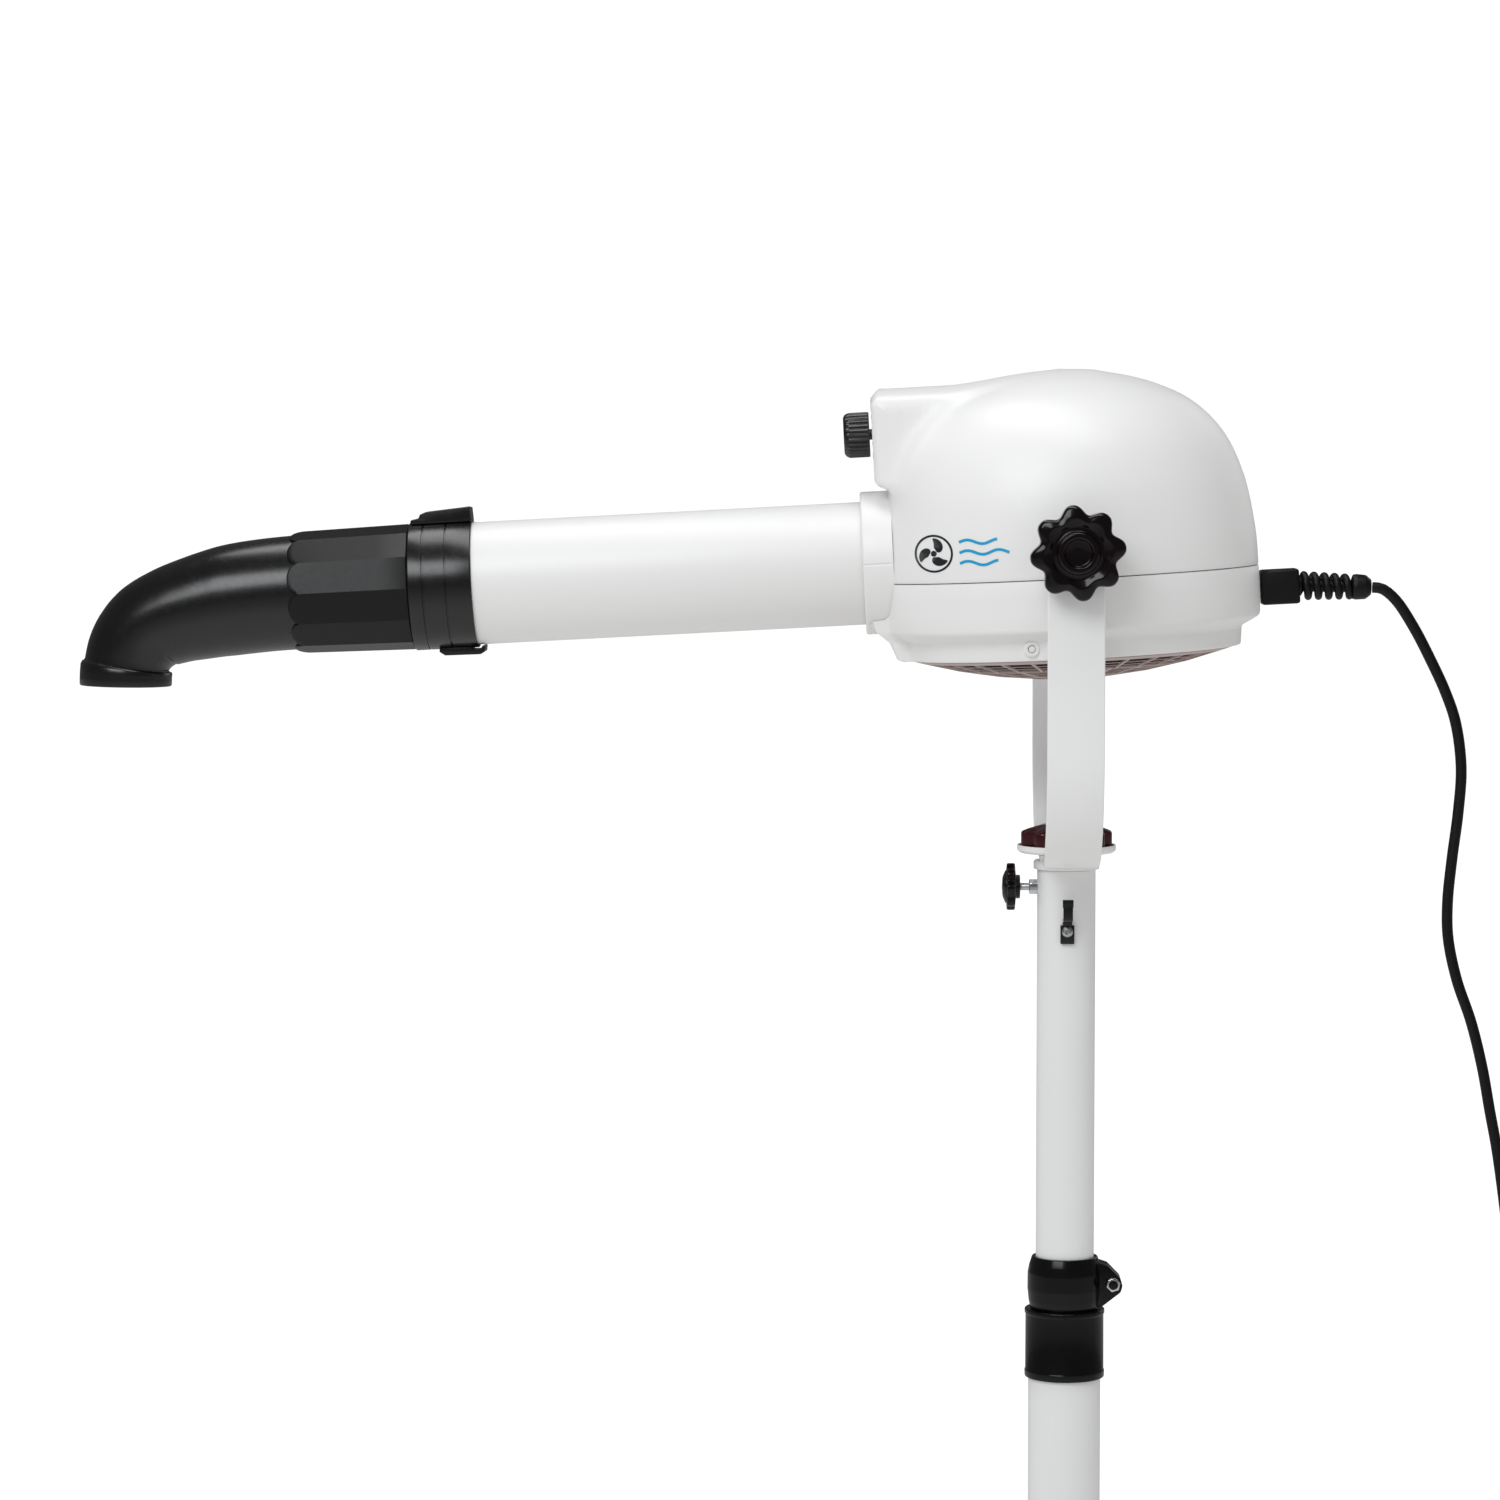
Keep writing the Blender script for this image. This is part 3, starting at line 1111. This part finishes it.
LEG_OUTLINE = [(35.5, 66.2), (90, 65.2, 30), (238, 61.4, 20), (262, 61.7, 4), (267.6, 70, 8),
               (263.6, 76.8, 6), (251, 81, 20), (90, 94, 60), (35.5, 97)]
CASTER_X = 250
WHEEL = (264, 0, 25)  # middle of a wheel pair
WEB_R = 28
WEB_FLOOR = -18


def caster_shapes():
    """The caster's web, its hood over both wheels and the boss under the leg."""
    low = math.asin(WEB_FLOOR / WEB_R)
    turns = np.linspace(low, math.pi - low, 48)
    web = prism("y", [polar(WEB_R, a) for a in turns], -4.4, 4.4, 0.8, WHEEL)
    section = soft([(27.4, -19.8, 0.3), (28.6, -19.8, 0.8), (29.4, -18, 2), (29.4, 18, 2), (28.6, 19.8, 0.8),
                    (27.4, 19.8, 0.3)])
    reach = math.asin(4.6 / 29)
    rings = []
    for a in np.linspace(reach, math.pi - reach, 40):
        rings.append([(WHEEL[0] + r * math.cos(a), y, WHEEL[2] + r * math.sin(a)) for r, y in section])
    neck = [(0, 50), (10, 50), (10, 58.8, 0.8), (6, 59), (4.9, 59), (4.9, 74.6, 0.6), (0, 74.6)]
    return [web, capped(rings), revolve(neck, "z", 48, at=(CASTER_X, 0, 0))]


def wheel_part(section, side):
    """(radius, y) points, turned about the axle on one side of the caster."""
    return revolve([(r, y * side, *edge) for r, y, *edge in section], "y", at=WHEEL)


def tyre(side):
    return wheel_part([(17.5, 6), (23.4, 5.6, 1.5), (25, 8, 2), (25, 16, 2.4), (22.6, 18.3, 1.4),
                       (20.2, 18.3, 0.6), (19.6, 16.4), (17.5, 16)], side)


def rim(side):
    disc = wheel_part([(0, 5.6), (18, 5.6), (18, 8), (19.9, 8), (19.9, 16.6, 0.5), (18.6, 17, 0.5),
                       (17.6, 14.6, 0.6), (8.6, 14.2, 1), (7.6, 17.6, 0.8), (5, 18.4, 1), (0, 18.4)], side)
    spokes = []
    for k in range(6):
        spoke = block((6.5, 18.4), (13, 16.2), (-1.6, 1.6), 0.5)
        turn = Matrix.Translation(WHEEL) @ Matrix.Rotation(k * math.pi / 3, 4, "Y")
        spokes.append(turned(spoke, turn @ Matrix.Scale(side, 4, (0, 1, 0))))
    return [disc, *spokes]


for number in range(1, 6):
    spot = MAST @ Matrix.Rotation(math.pi + math.radians(72 * (number - 1)), 4, "Z")
    piece(f"leg_{number}_arm", "base", "white_paint", spot, [prism("y", LEG_OUTLINE, -14, 14, 3.2)],
          [f"leg_{number}"])
    piece(f"caster_{number}_frame", f"caster_{number}", "black_plastic", spot, caster_shapes(),
          [f"caster_{number}"])
    piece(f"wheels_{number}_tyres", f"wheels_{number}", "tread", spot, [tyre(1), tyre(-1)],
          [f"wheels_{number}"])
    axle = rod("y", 4, -6, 6, WHEEL)
    piece(f"wheels_{number}_rims", f"wheels_{number}", "black_plastic", spot, [*rim(1), *rim(-1), axle])

# ---------------------------------------------------------------- lead entry and controls

GLAND = Matrix.Translation((124.5, 0, -27.3)) @ Matrix.Rotation(0.075, 4, "Y")


def cord_gland():
    """A square housing, and a strain relief: a tapering helix round a core."""
    housing = block((104, 124.5), (-9, 9), (-36.8, -17.8), 1.6)
    lip = block((104, 107.5), (-8.9, 8.9), (-36.7, -17.9), 0.8)
    turns, pitch = 5.2, 5.6
    helix = []
    for k in range(round(turns * 32) + 1):
        share = k / (turns * 32)
        angle, r = 2 * math.pi * k / 32, 6.1 - 1.1 * share
        helix.append((1.2 + pitch * turns * share, *polar(r, angle)))
    coil = tube(helix, lambda share: 2 * min(1, 0.3 + 14 * min(share, 1 - share)), 16)
    core = revolve([(0, -2), (6, -2), (5.6, 1.4, 0.6), (3.3, 2.6), (3.1, 28), (6.7, 29.4, 0.8), (7, 31.4, 1),
                    (6.6, 36.4, 2), (4.2, 39.4, 1), (0, 39.4)], "x", 48)
    return [housing, lip, turned(coil, GLAND), turned(core, GLAND)]


piece("cord_gland_relief", "head", "rubber", HEAD, cord_gland(), ["cord_gland"], sharp=50)

KNOB_Z = 67
KNOB_AT = (0, 0, KNOB_Z)


def control_knob():
    profile = [(0, -119), (9.8, -119, 0.6), (11.4, -118, 1), (12.3, -116, 1), (12.3, -105.4, 0.4),
               (11.8, -104.9, 0.2), (3.2, -104.9), (3.2, -116.4), (0, -116.4)]
    return revolve(profile, "x", 256, star(32, 0.45, 11.6, 12.3, power=1), KNOB_AT)


groove = block((-120, -118.5), (-0.9, 0.9), (KNOB_Z + 2, KNOB_Z + 9.2), 0)
piece("control_knob_grip", "control_knob", "black_plastic", HEAD, [control_knob()], ["control_knob"],
      [groove], sharp=40)
piece("control_knob_pointer", "control_knob", "white_plastic", HEAD,
      [block((-118.8, -118.3), (-0.7, 0.7), (KNOB_Z + 2.2, KNOB_Z + 9), 0.1)])
ticks = []
for step in range(11):
    angle = math.radians(135 - 27 * step)
    tick = block((-103.62, -103.3), (-0.35, 0.35), (14.6, 17.2 if step % 5 else 18.6), 0.05)
    ticks.append(turned(tick, Matrix.Translation(KNOB_AT) @ Matrix.Rotation(angle, 4, "X")))
piece("dial_ticks", "head", "print", HEAD, ticks)

# ---------------------------------------------------------------- print on the near side

PRINT_PROUD = 0.14
PRINT_ROOT = 0.4  # how deep the print goes into the shell


def near_side(flat, proud):
    """Points on the near side of the upper shell for (x, z) points in the head frame."""
    flat = np.array(flat, float)
    outside, inside = np.full(len(flat), -115.0), np.full(len(flat), -20.0)
    for _ in range(24):
        middle = (outside + inside) / 2
        out = shell_depth(np.stack([flat[:, 0], middle, flat[:, 1]], 1)) > proud
        outside, inside = np.where(out, middle, outside), np.where(out, inside, middle)
    return np.stack([flat[:, 0], outside, flat[:, 1]], 1)


def stroke(path, half, closed=False):
    """A thin printed line along (x, z) points on the near side. half is a number or f(share)."""
    path = np.array(path, float)
    size = half if callable(half) else (lambda share: half)
    widths = np.array([size(i / (len(path) - 1)) for i in range(len(path))])
    if closed:
        ahead = np.roll(path, -1, 0) - np.roll(path, 1, 0)
    else:
        ahead = np.gradient(path, axis=0)
    ahead /= np.linalg.norm(ahead, axis=1)[:, None]
    across = np.stack([-ahead[:, 1], ahead[:, 0]], 1) * widths[:, None]
    sides = [near_side(path + across, PRINT_PROUD), near_side(path - across, PRINT_PROUD),
             near_side(path - across, -PRINT_ROOT), near_side(path + across, -PRINT_ROOT)]
    rings = [[tuple(side[i]) for side in sides] for i in range(len(path))]
    return loft(rings, closed=True) if closed else capped(rings)


def circle(centre, r, half):
    """A printed ring, half as wide as that on each side of its radius."""
    return stroke([polar(r, a, centre) for a in around(96)], half, closed=True)


def fan_mark(centre, r):
    """A ring with three bent blades round a small eye."""
    blades = []
    for k in range(3):
        blade = []
        for share in np.linspace(0, 1, 25):
            angle = 2 * math.pi * k / 3 + 0.5 + 1.1 * share
            blade.append(polar(r * (0.2 + 0.64 * share), angle, centre))
        blades.append(stroke(blade, lambda share: 0.25 + 2.1 * math.sin(math.pi * share ** 0.8) ** 0.8))
    return [circle(centre, r, 0.55), circle(centre, 0.8, 0.75), *blades]


FAN_MARK = (-74, 2)
piece("print_fan", "head", "print", HEAD, fan_mark(FAN_MARK, 9.5), sharp=50)
airs = []
for row, length in ((5.6, 20), (0, 26), (-5.6, 20)):
    wave = [(FAN_MARK[0] + 13.5 + x, FAN_MARK[1] + row + 1.1 * math.sin(x / 2.6))
            for x in np.linspace(0, length, 60)]
    airs.append(stroke(wave, 0.75))
piece("print_air", "head", "print_teal", HEAD, airs, sharp=50)

screw_boss = [(0, -90.2), (1.6, -90.2), (1.7, -89), (2.1, -89), (2.2, -90.4, 0.2), (4.2, -90.4, 0.7),
              (4.4, -84), (0, -84)]
piece("skirt_screw_boss", "head", "white_plastic", HEAD,
      [revolve(screw_boss, "y", 48, at=(-25, 0, SKIRT_Z + 6.5))])

# ---------------------------------------------------------------- inner parts

for entry in frame["record"]["subparts"]:
    inner = frame["nodes"][entry["node"]].data
    inner.materials.clear()
    inner.materials.append(FINISHES[entry["material_slot"]])
